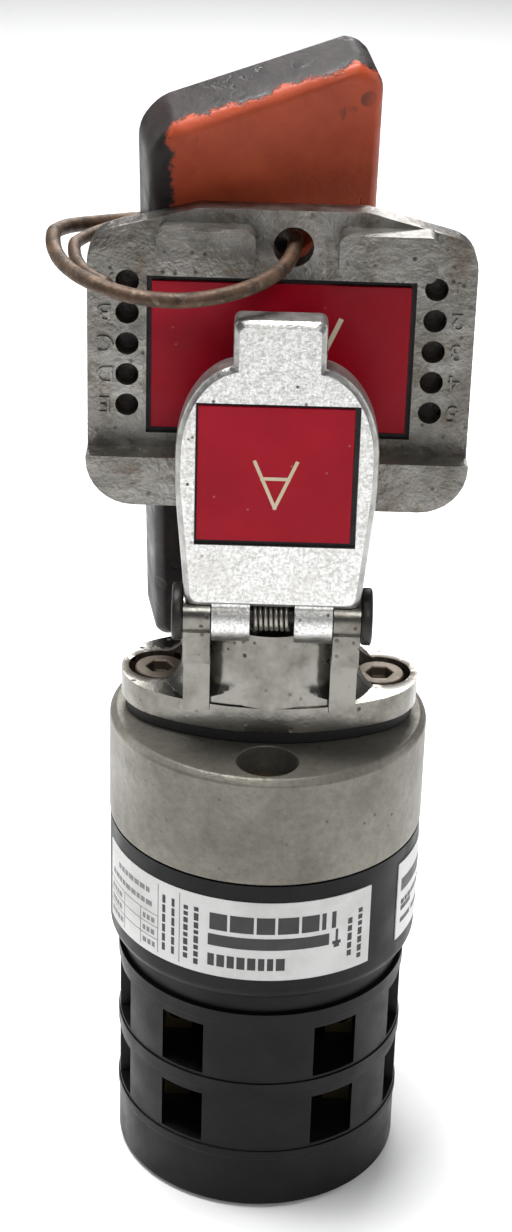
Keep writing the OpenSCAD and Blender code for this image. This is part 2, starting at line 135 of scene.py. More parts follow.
def plain(name, color, metallic=0.0, roughness=0.5):
    """A simple surface with faint mottling, for small and inner parts."""
    s = Shader(name, metallic, roughness)
    dark = tuple(c * 0.72 for c in color)
    s.set("Base Color", s.mix(s.noise(260), dark, color))
    s.set("Roughness", s.step(s.noise(500), 0.3, 0.7, roughness * 0.85, min(1, roughness * 1.15)))
    s.bump(s.noise(2400, 2), 0.12, 0.0002)
    return s.mat


def make_black_plastic():
    """Moulded black with a thin, uneven film of dust."""
    s = Shader("moulded_black", 0.0, 0.45, 0.16)
    dust = s.step(s.noise(45, 6, 0.65), 0.48, 0.75)
    s.set("Base Color", s.mix(dust, (0.0022, 0.0022, 0.0026), (0.0085, 0.0082, 0.0078)))
    s.set("Roughness", s.step(s.noise(160, 5), 0.3, 0.7, 0.34, 0.56))
    s.bump(s.noise(3000, 3), 0.12, 0.00015)
    s.bump(s.noise(90, 2), 0.12, 0.0008)
    return s.mat


def make_cast_zinc():
    """Dull sand casting: broad stains, fine grain and small pits."""
    s = Shader("sand_cast_zinc", 0.55, 0.5)
    broad = s.noise(38, 6, 0.7)
    grain = s.noise(900, 3, 0.8)
    base = s.mix(s.step(broad, 0.32, 0.68), (0.115, 0.105, 0.084), (0.245, 0.232, 0.20))
    base = s.mix(s.step(grain, 0.35, 0.75, 0, 0.45), base, (0.07, 0.062, 0.05))
    pits = s.step(s.cells(420), 0.16, 0.08)
    base = s.mix(s.math("MULTIPLY", pits, s.step(s.noise(120), 0.5, 0.6)), base, (0.05, 0.042, 0.035))
    s.set("Base Color", base)
    s.set("Roughness", s.step(broad, 0.3, 0.7, 0.56, 0.4))
    s.bump(grain, 0.4, 0.00025)
    s.bump(s.noise(220, 4), 0.22, 0.0006)
    return s.mat


FLANGE_SCREW_X = 17.2 * MM


def grime_near_screws(s):
    """Brown dirt round the two flange screws."""
    x, y, _ = s.xyz(s.place.outputs["Object"])
    dx = s.math("SUBTRACT", s.math("ABSOLUTE", x), FLANGE_SCREW_X)
    reach = s.math("SQRT", s.math("ADD", s.math("MULTIPLY", dx, dx), s.math("MULTIPLY", y, y)))
    return s.math("MULTIPLY", s.step(reach, 0.0064, 0.0048), s.step(s.noise(500, 5), 0.38, 0.5))


def make_nickel():
    """Worn plating with stains, patches of pits and dirt at the screws."""
    s = Shader("worn_nickel", 1.0, 0.24)
    stain = s.step(s.noise(70, 6, 0.7), 0.45, 0.72)
    base = s.mix(stain, (0.24, 0.232, 0.21), (0.10, 0.092, 0.076))
    patch = s.step(s.noise(95, 3), 0.46, 0.6)
    pits = s.math("MULTIPLY", s.step(s.cells(520), 0.22, 0.1), patch)
    dark_marks = s.math("MAXIMUM", pits, grime_near_screws(s))
    s.set("Base Color", s.mix(dark_marks, base, (0.055, 0.036, 0.022)))
    s.set("Metallic", s.step(dark_marks, 0, 1, 1.0, 0.15))
    s.set("Roughness", s.math("ADD", s.step(stain, 0, 1, 0.2, 0.34), s.math("MULTIPLY", dark_marks, 0.4)))
    s.bump(s.math("SUBTRACT", s.noise(260, 3), dark_marks), 0.16, 0.0004)
    s.bump(s.noise(2600, 2), 0.06, 0.0001)
    return s.mat


def make_cover_metal():
    """Speckled front face, painted lighter than the darker rim as a painted highlight, with dark pits."""
    s = Shader("speckled_cover_painted_highlight", 0.9, 0.34)
    normal = s.xyz(s.place.outputs["Normal"])[1]
    # Painted highlight: faces turned to the front get the lighter colour, all other faces the darker rim
    # colour.
    front = s.step(normal, -0.9, -0.985)
    grain = s.noise(2300, 2, 0.8)
    speckle_and_highlight = s.mix(s.step(grain, 0.35, 0.65), (0.48, 0.475, 0.455), (0.86, 0.86, 0.845))
    speckle_and_highlight = s.mix(s.step(s.noise(60, 5), 0.5, 0.8), speckle_and_highlight, (0.52, 0.50, 0.46))
    border = s.mix(s.step(s.noise(400, 4), 0.4, 0.6), (0.27, 0.265, 0.25), (0.40, 0.395, 0.38))
    base = s.mix(front, border, speckle_and_highlight)
    patch = s.step(s.noise(75, 3), 0.5, 0.62)
    pits = s.math("MULTIPLY", s.step(s.cells(600), 0.2, 0.09), patch)
    s.set("Base Color", s.mix(pits, base, (0.05, 0.04, 0.032)))
    s.set("Metallic", s.step(pits, 0, 1, 0.9, 0.2))
    s.set("Roughness", s.math("ADD", s.step(grain, 0.3, 0.7, 0.42, 0.28), s.math("MULTIPLY", pits, 0.35)))
    s.bump(grain, 0.35, 0.0002)
    s.bump(s.noise(300, 3), 0.15, 0.0004)
    return s.mat


def make_key_metal():
    """Rough casting with brown stains, and painted shade on the dark floors in the code holes."""
    s = Shader("cast_key_metal", 1.0, 0.36)
    broad = s.noise(55, 6, 0.7)
    base = s.mix(s.step(broad, 0.35, 0.66), (0.14, 0.132, 0.115), (0.31, 0.30, 0.28))
    brown = s.step(s.noise(130, 6, 0.75), 0.52, 0.70)
    base = s.mix(s.math("MULTIPLY", brown, 0.8), base, (0.085, 0.052, 0.030))
    pits = s.math("MULTIPLY", s.step(s.cells(480), 0.22, 0.1), s.step(s.noise(140, 2), 0.46, 0.56))
    # The code holes lie between these distances from the middle, behind the plate's front face; their
    # floors are painted dark as painted shade.
    x, y, _ = s.xyz(s.place.outputs["Object"])
    aside = s.math("ABSOLUTE", x)
    holes = s.math("MULTIPLY", s.step(aside, 0.0198, 0.0202), s.step(aside, 0.0248, 0.0244))
    holes = s.math("MULTIPLY", holes, s.step(y, -0.0051, -0.0047))
    holes = s.math("MULTIPLY", holes, s.step(y, -0.0016, -0.0020))
    # This mask joins the real pits with the painted shade in the code holes.
    dark_marks = s.math("MAXIMUM", pits, holes)
    s.set("Base Color", s.mix(dark_marks, base, (0.028, 0.020, 0.015)))
    s.set("Metallic", s.step(dark_marks, 0, 1, 1.0, 0.2))
    s.set("Roughness", s.step(s.noise(300, 4), 0.3, 0.7, 0.28, 0.46))
    s.bump(s.noise(420, 5, 0.65), 0.6, 0.0007)
    s.bump(s.noise(2400, 2), 0.16, 0.0002)
    return s.mat


def make_red_plate():
    """Red plastic with a few pale specks."""
    s = Shader("red_plate", 0.0, 0.38, 0.14)
    base = s.mix(s.step(s.noise(50, 4), 0.35, 0.7), (0.26, 0.0015, 0.009), (0.36, 0.004, 0.018))
    specks = s.step(s.cells(330), 0.075, 0.04)
    s.set("Base Color", s.mix(s.math("MULTIPLY", specks, 0.4), base, (0.48, 0.22, 0.2)))
    s.set("Roughness", s.step(s.noise(240, 4), 0.3, 0.7, 0.28, 0.46))
    s.bump(s.noise(700, 2), 0.08, 0.0002)
    return s.mat


def make_paper():
    """White label stock, greyed in patches."""
    s = Shader("label_paper", 0.0, 0.4)
    base = s.mix(s.step(s.noise(70, 6, 0.7), 0.45, 0.75), (0.56, 0.56, 0.55), (0.40, 0.395, 0.37))
    s.set("Base Color", base)
    s.set("Roughness", s.step(s.noise(300), 0.3, 0.7, 0.32, 0.5))
    s.bump(s.noise(1200, 2), 0.06, 0.0001)
    return s.mat


def make_rust_wire():
    """Brown rust over steel, with bare spots."""
    s = Shader("rusty_wire", 0.45, 0.6)
    rust = s.noise(420, 6, 0.75)
    base = s.mix(s.step(rust, 0.35, 0.65), (0.022, 0.012, 0.007), (0.10, 0.056, 0.030))
    base = s.mix(s.step(s.noise(900, 3), 0.6, 0.72, 0, 0.6), base, (0.19, 0.155, 0.115))
    s.set("Base Color", base)
    s.set("Roughness", s.step(rust, 0.3, 0.7, 0.7, 0.42))
    s.bump(rust, 0.45, 0.0003)
    return s.mat


# How the tag hangs, and its size measured from the point it is turned about
TAG_TURN = math.radians(14)
TAG_LEAN = math.radians(18)
TAG_TIP = math.radians(-4.6)
TAG_AT = Vector((-3.1, 8.3, 159.2)) * MM
TAG_PLACE = (Matrix.Translation(TAG_AT) @ Matrix.Rotation(TAG_TURN, 4, "Z")
             @ Matrix.Rotation(TAG_LEAN, 4, "X") @ Matrix.Rotation(TAG_TIP, 4, "Y"))
TAG_THICK = 10 * MM
TAG_LEFT = -17.6 * MM
TAG_RIGHT = 16.4 * MM
TAG_HIGH = 19.4 * MM
TAG_LOW = -82 * MM
TAG_HOLE_AT = Vector((-1.3, 0, -3.6)) * MM
TAG_HOLE_R = 3.8 * MM
# The wire's direction through the tag, times half the length of the cutter
TAG_HOLE_REACH = Vector((-0.5933, 0.7593, -0.2672)) * 30 * MM


def make_tag_paint():
    """Orange paint on the upper near face, worn to a dark base along the edges and sides."""
    s = Shader("worn_orange_paint", 0.0, 0.46, 0.22)
    local = s.tree.nodes.new("ShaderNodeAttribute")
    local.attribute_name = "tag_place"
    x, y, z = s.xyz(local.outputs["Vector"])
    rag = s.step(s.noise(260, 6, 0.7), 0.25, 0.75, -0.0016, 0.0016)
    top = s.math("SUBTRACT", s.math("MULTIPLY", x, 0.24), z)
    left = s.math("ADD", x, rag)
    near = s.step(s.math("ADD", y, rag), -0.0030, -0.0036)
    # Below this ragged line the near face keeps the dark base colour.
    upper = s.step(s.math("ADD", z, rag), -0.033, -0.030)
    painted = s.math("MULTIPLY", s.step(left, TAG_LEFT + 2.6 * MM, TAG_LEFT + 3.4 * MM), near)
    painted = s.math("MULTIPLY", painted, upper)
    chips = s.math("MULTIPLY", s.step(s.cells(190), 0.26, 0.2), s.step(s.noise(60, 3), 0.52, 0.6))
    edge_zone = s.step(s.math("ADD", top, rag), -0.0100, -0.0160)
    chips = s.math("MULTIPLY", chips, s.math("MAXIMUM", edge_zone, s.step(left, -0.008, -0.012)))
    scratch = s.step(s.noise(300, 3, 0.6, s.coords((1, 1, 0.12), (0.4, 0.5, 0))), 0.64, 0.68)
    bare = s.math("MAXIMUM", chips, s.math("MULTIPLY", scratch, 0.55))
    paint = s.mix(s.step(s.noise(85, 6, 0.7), 0.3, 0.7), (0.24, 0.034, 0.012), (0.38, 0.062, 0.022))
    base = s.mix(bare, paint, (0.075, 0.022, 0.014))
    dark = s.mix(s.step(s.noise(150, 6, 0.7), 0.35, 0.65), (0.006, 0.005, 0.0055), (0.024, 0.017, 0.016))
    s.set("Base Color", s.mix(painted, dark, base))
    s.set("Roughness", s.step(s.noise(220, 5), 0.3, 0.7, 0.34, 0.56))
    s.bump(s.noise(420, 4), 0.3, 0.0004)
    s.bump(s.math("SUBTRACT", painted, bare), 0.35, 0.0003)
    return s.mat


BLACK = make_black_plastic()
ZINC = make_cast_zinc()
NICKEL = make_nickel()
COVER = make_cover_metal()
KEY = make_key_metal()
RED = make_red_plate()
PAPER = make_paper()
RUST = make_rust_wire()
TAG = make_tag_paint()
RUBBER = plain("gasket_rubber", (0.012, 0.012, 0.012), 0.0, 0.62)
STEEL = plain("screw_steel", (0.33, 0.31, 0.28), 0.95, 0.36)
DULL = plain("grimy_screw", (0.15, 0.12, 0.09), 0.75, 0.5)
BRASS = plain("terminal_brass", (0.30, 0.22, 0.10), 0.9, 0.4)
IVORY = plain("ivory_plastic", (0.62, 0.59, 0.50), 0.0, 0.5)
BROWN = plain("plunger_plastic", (0.40, 0.12, 0.07), 0.0, 0.5)
PIN = plain("blackened_pin", (0.022, 0.020, 0.018), 0.5, 0.42)
INK = plain("label_ink", (0.012, 0.012, 0.013), 0.0, 0.5)
FAINT_INK = plain("faint_ink", (0.16, 0.16, 0.17), 0.0, 0.5)
CREAM = plain("letter_cream", (0.66, 0.56, 0.40), 0.0, 0.5)
HOLLOW_BRASS = plain("shaded_brass", (0.06, 0.045, 0.02), 0.6, 0.5)
# Painted shadow: a near-black surface put in the label recesses where only shade falls.
SHADOW = plain("label_gap_painted_shadow", (0.008, 0.007, 0.007), 0.0, 0.7)


# ---------- CAD nodes that stay ----------

def shade_by_angle_group(angle=50):
    """A modifier group that shades gentle bends smoothly and keeps sharper ones crisp."""
    group = bpy.data.node_groups.new("shade_by_angle", "GeometryNodeTree")
    group.interface.new_socket("Geometry", in_out="INPUT", socket_type="NodeSocketGeometry")
    group.interface.new_socket("Geometry", in_out="OUTPUT", socket_type="NodeSocketGeometry")
    start = group.nodes.new("NodeGroupInput")
    end = group.nodes.new("NodeGroupOutput")
    bend = group.nodes.new("GeometryNodeInputMeshEdgeAngle")
    sharp = group.nodes.new("FunctionNodeCompare")
    sharp.operation = "GREATER_THAN"
    sharp.inputs[1].default_value = math.radians(angle)
    shade = group.nodes.new("GeometryNodeSetShadeSmooth")
    shade.domain = "EDGE"
    shade.inputs["Shade Smooth"].default_value = False
    group.links.new(bend.outputs["Unsigned Angle"], sharp.inputs[0])
    group.links.new(sharp.outputs[0], shade.inputs["Selection"])
    group.links.new(start.outputs[0], shade.inputs["Geometry"])
    group.links.new(shade.outputs[0], end.inputs[0])
    return group


SHADE = shade_by_angle_group()


def finish_edges(piece, edge, segments, clean=True):
    """Rounds sharp edges by a width in millimetres and shades the result."""
    for face in piece.data.polygons:
        face.use_smooth = True
    weld = piece.modifiers.new("weld", "WELD")
    weld.merge_threshold = 0.00001
    if edge:
        if clean:
            flat = piece.modifiers.new("flat", "DECIMATE")
            flat.decimate_type = "DISSOLVE"
            flat.angle_limit = math.radians(1)
        bevel = piece.modifiers.new("bevel", "BEVEL")
        bevel.width = edge * MM
        bevel.segments = segments
        bevel.limit_method = "ANGLE"
        bevel.angle_limit = math.radians(35)
    shade = piece.modifiers.new("shade", "NODES")
    shade.node_group = SHADE
    weighted = piece.modifiers.new("weighted", "WEIGHTED_NORMAL")
    weighted.keep_sharp = True


def dress(names, material, edge=0.0, segments=2):
    """Gives CAD nodes a material and, where edge is set, rounds their sharp edges."""
    for name in names:
        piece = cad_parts[name]
        piece.data.materials.clear()
        piece.data.materials.append(material)
        if "custom_normal" in piece.data.attributes:
            piece.data.attributes.remove(piece.data.attributes["custom_normal"])
        finish_edges(piece, edge, segments)


SIDES = ("right", "left")
STAGES = (1, 2)
dress(["end_cap", "contact_stage_1", "contact_stage_2"], BLACK, 0.35)
dress(["latch_housing"], BLACK, 0.5, 3)
dress(["latch_cover"], BLACK)
dress(["collar"], ZINC, 0.45, 3)
dress(["lock_body"], NICKEL, 0.45, 3)
dress(["lock_barrel", "barrel_clip"], NICKEL)
dress(["key_head"], KEY, 0.6, 3)
dress(["key_boss", "key_blade"], KEY, 0.3)
dress(["gasket"], RUBBER, 0.4)
dress(["hinge_pin"], PIN, 0.4)
dress(["collar_screws", "flange_screws"], DULL, 0.3)
dress(["tie_bolts", "latch_springs", "drive_shaft"], STEEL)
dress([f"terminal_screws_{n}" for n in STAGES], STEEL, 0.2)
dress([f"terminals_{n}" for n in STAGES], HOLLOW_BRASS, 0.2)
dress([f"bridge_{n}_{side}" for n in STAGES for side in SIDES], BRASS)
dress([f"spring_{n}_{side}" for n in STAGES for side in SIDES], STEEL)
dress([f"plunger_{n}_{side}" for n in STAGES for side in SIDES], BROWN)
dress(["cam_1", "cam_2", "star_wheel", "latch_slides", "coupling"], IVORY)
dress(["rating_label", "side_label"], PAPER)
dress(["cover_label", "key_label"], RED, 0.12)


# ---------- new pieces ----------

def new_piece(name, mesh, material, body, stands_for=()):
    piece = bpy.data.objects.new(name, mesh)
    bpy.context.scene.collection.objects.link(piece)
    mesh.materials.clear()
    mesh.materials.append(material)
    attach(piece, body)
    if stands_for:
        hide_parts(*stands_for)
    return piece


def arc(cx, cy, r, a0, a1, n):
    turns = [math.radians(a0 + (a1 - a0) * i / n) for i in range(n + 1)]
    return [(cx + r * math.cos(t), cy + r * math.sin(t)) for t in turns]


def skin_rings(work, rings, close_ends=True):
    """Joins rings of equal length with quads and caps the first and last."""
    rows = [[work.verts.new(p) for p in ring] for ring in rings]
    for low, high in zip(rows, rows[1:]):
        count = len(low)
        for i in range(count):
            j = (i + 1) % count
            work.faces.new((low[i], low[j], high[j], high[i]))
    if close_ends:
        work.faces.new(list(reversed(rows[0])))
        work.faces.new(rows[-1])
    bmesh.ops.recalc_face_normals(work, faces=work.faces[:])


def mesh_from(work, name):
    mesh = bpy.data.meshes.new(name)
    work.to_mesh(mesh)
    work.free()
    return mesh


def box_mesh(low, high, name="cutter"):
    work = bmesh.new()
    bmesh.ops.create_cube(work, size=1)
    size = Vector(high) - Vector(low)
    middle = (Vector(high) + Vector(low)) / 2
    for v in work.verts:
        v.co = Vector((v.co.x * size.x, v.co.y * size.y, v.co.z * size.z)) + middle
    return mesh_from(work, name)


def rod_mesh(start, end, radius, sides=48, name="rod"):
    work = bmesh.new()
    start, end = Vector(start), Vector(end)
    axis = end - start
    place = Matrix.Translation((start + end) / 2) @ axis.to_track_quat("Z", "Y").to_matrix().to_4x4()
    bmesh.ops.create_cone(work, segments=sides, radius1=radius, radius2=radius,
                          depth=axis.length, cap_ends=True, matrix=place)
    return mesh_from(work, name)


def combine(base, others, kind):
    """Booleans meshes onto a base mesh and returns the resulting mesh."""
    host = bpy.data.objects.new("host", base)
    bpy.context.scene.collection.objects.link(host)
    helpers = [host]
    for other in others:
        helper = bpy.data.objects.new("helper", other)
        bpy.context.scene.collection.objects.link(helper)
        helpers.append(helper)
        cut = host.modifiers.new("cut", "BOOLEAN")
        cut.operation = kind
        cut.solver = "EXACT"
        cut.object = helper
    bpy.context.view_layer.update()
    result = bpy.data.meshes.new_from_object(host.evaluated_get(bpy.context.evaluated_depsgraph_get()))
    for helper in helpers:
        bpy.data.objects.remove(helper)
    return result


def tube_along(points, radius, sides=12, closed=False):
    """A round tube swept along points with rotation-minimising rings."""
    work = bmesh.new()
    count = len(points)
    points = [Vector(p) for p in points]
    rings = []
    normal = None
    for i, point in enumerate(points):
        before = points[(i - 1) % count] if closed or i else points[i]
        after = points[(i + 1) % count] if closed or i < count - 1 else points[i]
        tangent = (after - before).normalized()
        if normal is None:
            normal = tangent.orthogonal().normalized()
        normal = (normal - tangent * normal.dot(tangent)).normalized()
        side = tangent.cross(normal)
        ring = []
        for k in range(sides):
            a = math.tau * k / sides
            ring.append(work.verts.new(point + radius * (math.cos(a) * normal + math.sin(a) * side)))
        rings.append(ring)
    pairs = list(zip(rings, rings[1:])) + ([(rings[-1], rings[0])] if closed else [])
    for low, high in pairs:
        for k in range(sides):
            j = (k + 1) % sides
            work.faces.new((low[k], low[j], high[j], high[k]))
    if not closed:
        work.faces.new(list(reversed(rings[0])))
        work.faces.new(rings[-1])
    bmesh.ops.recalc_face_normals(work, faces=work.faces[:])
    for face in work.faces:
        face.smooth = True
    return mesh_from(work, "tube")


# ---------- dust cover ----------

HINGE = Vector((0, -15, 103.7)) * MM
COVER_HALF = 14.6
COVER_LOW_HALF = 13.0
COVER_TAB = 6.6
COVER_HIGH = 46.4
COVER_LOW = 2.35
COVER_FRONT = 3.5
SHOULDER_X = 5.2
SHOULDER_Z = 25.8
SHOULDER_ACROSS = 9.4
SHOULDER_UP = 13.9
SHOULDER_STEPS = 14
COVER_BACK = -1.5
KNUCKLE_IN = 3.3
KNUCKLE_OUT = 8.9
KNUCKLE_R = 4.2
CLEAR_R = 3.6
BORE_R = 1.55
LABEL_HALF = 11.7
LABEL_LOW = 12.4
LABEL_HIGH = 34.2


def by_hinge(x, y, z):
    """A place given in millimetres from the middle of the hinge."""
    return HINGE + Vector((x, y, z)) * MM


def hinge_rod(x0, x1, radius, sides):
    return rod_mesh(by_hinge(x0, 0, 0), by_hinge(x1, 0, 0), radius * MM, sides)


def cover_outline(inset):
    low, wide, tab = COVER_LOW_HALF - inset, COVER_HALF - inset, COVER_TAB - inset
    top = COVER_HIGH - inset
    corner = 1.5
    half = arc(low - corner, COVER_LOW + inset + corner, corner, -90, 0, 5)
    half += [(wide, 21.3)]
    # A quarter of an oval leads straight into the tab
    across, up = SHOULDER_ACROSS - inset, SHOULDER_UP - inset
    last = math.acos((COVER_TAB - inset - SHOULDER_X) / across)
    for i in range(SHOULDER_STEPS + 1):
        a = last * i / SHOULDER_STEPS
        half.append((SHOULDER_X + across * math.cos(a), SHOULDER_Z + up * math.sin(a)))
    half += [(tab, 42.3)]
    half += arc(tab - 1.1, top - 1.1, 1.1, 0, 90, 4)
    return half + [(-x, z) for x, z in reversed(half)]


def build_cover():
    profile = [(0.35, COVER_BACK), (0, COVER_BACK + 0.35), (0, COVER_FRONT - 1.0), (0.2, COVER_FRONT - 0.6),
               (0.75, COVER_FRONT - 0.1), (0.95, COVER_FRONT)]
    rings = [[by_hinge(x, -out, z) for x, z in cover_outline(inset)] for inset, out in profile]
    work = bmesh.new()
    skin_rings(work, rings)
    plate = mesh_from(work, "plate")
    clear = hinge_rod(-20, 20, CLEAR_R, 64)
    recess = box_mesh(by_hinge(-LABEL_HALF, -COVER_FRONT - 1, LABEL_LOW),
                      by_hinge(LABEL_HALF, -COVER_FRONT + 0.9, LABEL_HIGH))
    plate = combine(plate, [clear, recess], "DIFFERENCE")
    knuckles = []
    for side in (-1, 1):
        x0, x1 = sorted((side * KNUCKLE_IN, side * KNUCKLE_OUT))
        knuckles.append(hinge_rod(x0, x1, KNUCKLE_R, 56))
        # The block is a little smaller than the round part, so that no two faces coincide
        knuckles.append(box_mesh(by_hinge(x0 + 0.02, -3.38, 0.1), by_hinge(x1 - 0.02, 1.3, 4.6)))
    whole = combine(plate, knuckles, "UNION")
    whole = combine(whole, [hinge_rod(-20, 20, BORE_R, 40)], "DIFFERENCE")
    piece = new_piece("dust_cover_plate", whole, COVER, "cover", ["dust_cover"])
    finish_edges(piece, 0, 2)


build_cover()


# ---------- torsion spring on the hinge ----------

def build_spring():
    """A close coil between the knuckles, with one short leg standing up."""
    turns, per_turn = 7, 20
    coil_r, half = 2.25, 2.7
    points = []
    for i in range(turns * per_turn + 1):
        a = math.tau * i / per_turn + math.radians(60)
        x = -half + 2 * half * i / (turns * per_turn)
        points.append(by_hinge(x, coil_r * math.cos(a), coil_r * math.sin(a)))
    tip = points[-1]
    points += [tip + Vector((0, -0.2, 1.0)) * MM, tip + Vector((0, 0.2, 2.6)) * MM]
    new_piece("hinge_spring", tube_along(points, 0.33 * MM, 8), STEEL, "cover", ["cover_spring"])


build_spring()


# ---------- wire ring: one and a half turns of rusty wire ----------

RING_MIDDLE = Vector((-15.6, -3, 157)) * MM
RING_R = 17.3 * MM
WIRE_R = 1.1 * MM
RING_DROP = math.radians(12)
RING_FOLD = math.radians(6)


def ring_point(turn, lift, reach):
    """Both halves of the ring fall a little from the fold that runs left to right."""
    flat = Vector((reach * math.cos(turn), reach * math.sin(turn), lift))
    front = min(1, max(0, 0.5 - 3 * math.sin(turn)))
    fall = front * RING_DROP - (1 - front) * RING_FOLD
    return RING_MIDDLE + Matrix.Rotation(fall, 3, "X") @ flat


def build_ring():
    """The wire closes on itself, and a second strand lies beside it on the left."""
    steps = 120
    main = []
    for i in range(steps):
        a = math.tau * i / steps
        wobble = 0.18 * MM * math.sin(2 * a + 0.6) + 0.12 * MM * math.sin(5 * a)
        main.append(ring_point(a, wobble, RING_R + 0.5 * wobble))
    spare = []
    first, last = math.radians(112), math.radians(238)
    for i in range(49):
        k = i / 48
        a = first + (last - first) * k
        drift = math.sin(math.pi * k) ** 0.6
        spare.append(ring_point(a, (0.2 - 1.5 * drift) * MM, RING_R - (0.9 + 2.1 * drift) * MM))
    work = bmesh.new()
    for points, closed, radius in ((main, True, WIRE_R), (spare, False, WIRE_R * 0.86)):
        work.from_mesh(tube_along(points, radius, 14, closed))
    mesh = mesh_from(work, "ring")
    new_piece("wire_ring", mesh, RUST, "ring", ["key_ring"])


build_ring()


# ---------- tag ----------

def tag_outline(inset):
    left, right = TAG_LEFT / MM + inset, TAG_RIGHT / MM - inset
    low, high = TAG_LOW / MM + inset, TAG_HIGH / MM - inset
    points = arc(left + 2.2, low + 2.2, 2.2, 180, 270, 4) + arc(right - 2.2, low + 2.2, 2.2, 270, 360, 4)
    points += [(right, z) for z in range(-60, 17, 12)]
    points += arc(right - 5, high, 5, 0, 78, 8)
    points += arc(left + 7, high - 8, 7, 112, 180, 8)
    points += [(left, z) for z in range(6, -75, -12)]
    return points


def build_tag():
    half = TAG_THICK / MM / 2
    # How far in from the outline, and how far back from the middle of the slab
    profile = [(0.9, half), (0.3, half - 0.3), (0, half - 0.9), (0, 0), (0, -half + 2.0),
               (0.25, -half + 1.2), (0.8, -half + 0.5), (1.7, -half)]
    rings = [[Vector((x, y, z)) * MM for x, z in tag_outline(inset)] for inset, y in profile]
    work = bmesh.new()
    skin_rings(work, rings)
    slab = mesh_from(work, "slab")
    hole = rod_mesh(TAG_HOLE_AT - TAG_HOLE_REACH, TAG_HOLE_AT + TAG_HOLE_REACH, TAG_HOLE_R, 56)
    slab = combine(slab, [hole], "DIFFERENCE")
    place = slab.attributes.new("tag_place", "FLOAT_VECTOR", "POINT")
    for v in slab.vertices:
        place.data[v.index].vector = v.co
    for v in slab.vertices:
        v.co = TAG_PLACE @ v.co
    piece = new_piece("painted_tag", slab, TAG, "tag", ["tag"])
    finish_edges(piece, 0.25, 2, clean=False)


build_tag()


# ---------- plain capital letters and digits as strokes ----------

def text_mesh(word, height, depth):
    """A flat generic character, centred on the origin in the XZ plane and facing -Y."""
    curve = bpy.data.curves.new("glyph", "FONT")
    curve.body = word
    curve.size = height * 1.4
    curve.extrude = depth / 2
    curve.align_x = "CENTER"
    curve.align_y = "CENTER"
    holder = bpy.data.objects.new("glyph", curve)
    bpy.context.scene.collection.objects.link(holder)
    bpy.context.view_layer.update()
    mesh = bpy.data.meshes.new_from_object(holder.evaluated_get(bpy.context.evaluated_depsgraph_get()))
    bpy.data.objects.remove(holder)
    mesh.transform(Matrix.Rotation(math.radians(90), 4, "X"))
    return mesh


STROKE_LAYER = 0.012 * MM  # each stroke stands this much further out than the one before
BAR_HEIGHT = 0.36  # where the bar crosses the legs, measured from their feet


def stroke_a(height, width, stroke, depth, middle, name, body):
    """Letter A in thin strokes, upside down, facing -Y."""
    top = Vector((0, 0, -height / 2))
    left = Vector((-width / 2, 0, height / 2))
    right = Vector((width / 2, 0, height / 2))
    bar = 1 - BAR_HEIGHT
    pieces = [(top, left), (top, right), (top.lerp(left, bar), top.lerp(right, bar))]
    work = bmesh.new()
    for layer, (start, end) in enumerate(pieces):
        along = (end - start).normalized()
        side = along.cross(Vector((0, 1, 0))) * stroke / 2
        start, end = start - along * stroke / 2, end + along * stroke / 2
        out = Vector((0, -depth / 2 - layer * STROKE_LAYER, 0))
        corners = [start - side, end - side, end + side, start + side]
        near = [work.verts.new(middle + c + out) for c in corners]
        far = [work.verts.new(middle + c - out) for c in corners]
        work.faces.new(near)
        work.faces.new(list(reversed(far)))
        for i in range(4):
            j = (i + 1) % 4
            work.faces.new((near[j], near[i], far[i], far[j]))
    bmesh.ops.recalc_face_normals(work, faces=work.faces[:])
    new_piece(name, mesh_from(work, name), CREAM, body)


cover_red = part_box("cover_label")
cover_middle = (cover_red[0] + cover_red[1]) / 2
stroke_a(7.0 * MM, 6.0 * MM, 0.5 * MM, 0.06 * MM,
         Vector((cover_middle.x + 0.1 * MM, cover_red[0].y, cover_middle.z - 1.5 * MM)),
         "cover_letter", "cover")
key_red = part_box("key_label")
stroke_a(15.8 * MM, 13.8 * MM, 0.7 * MM, 0.06 * MM,
         Vector((1.7 * MM, key_red[0].y, 138.2 * MM)), "key_letter", "key")


def shadow_gap(name, low, high, body):
    """Dark bed in a label recess, a painted shadow seen as the gap round the red plate."""
    new_piece(name, box_mesh(low, high, name), SHADOW, body)


shadow_gap("cover_label_bed", by_hinge(-LABEL_HALF + 0.05, -COVER_FRONT + 0.6, LABEL_LOW + 0.05),
           by_hinge(LABEL_HALF - 0.05, -COVER_FRONT + 0.95, LABEL_HIGH - 0.05), "cover")
shadow_gap("key_label_bed", Vector((-19.35, -4.75, 128.25)) * MM,
           Vector((19.35, -4.45, 152.15)) * MM, "key")


def code_characters():
    """Raised letters and digits beside the code holes, worn and low."""
    pitch, first, aside, front = 4.7, 132.5, 25.4, -5.55
    for side, word in ((-1, "EDCBA"), (1, "54321")):
        work = bmesh.new()
        for i, sign in enumerate(word):
            glyph = text_mesh(sign, 2.6 * MM, 0.6 * MM)
            glyph.transform(Matrix.Translation(Vector((side * aside, front, first + i * pitch)) * MM)
                            @ Matrix.Rotation(math.radians(180), 4, "Y"))
            work.from_mesh(glyph)
        name = "code_letters" if side < 0 else "code_digits"
        new_piece(name, mesh_from(work, name), KEY, "key")


code_characters()


# ---------- print on the white labels: generic bars, rules and an arrow ----------

LABEL_R = 25.05
PRINT_LIFT = 0.02


def label_point(angle, z, r):
    """A point on the housing; the angle is measured from the front, to the right."""
    a = math.radians(angle - 90)
    return Vector((r * math.cos(a), r * math.sin(a), z)) * MM


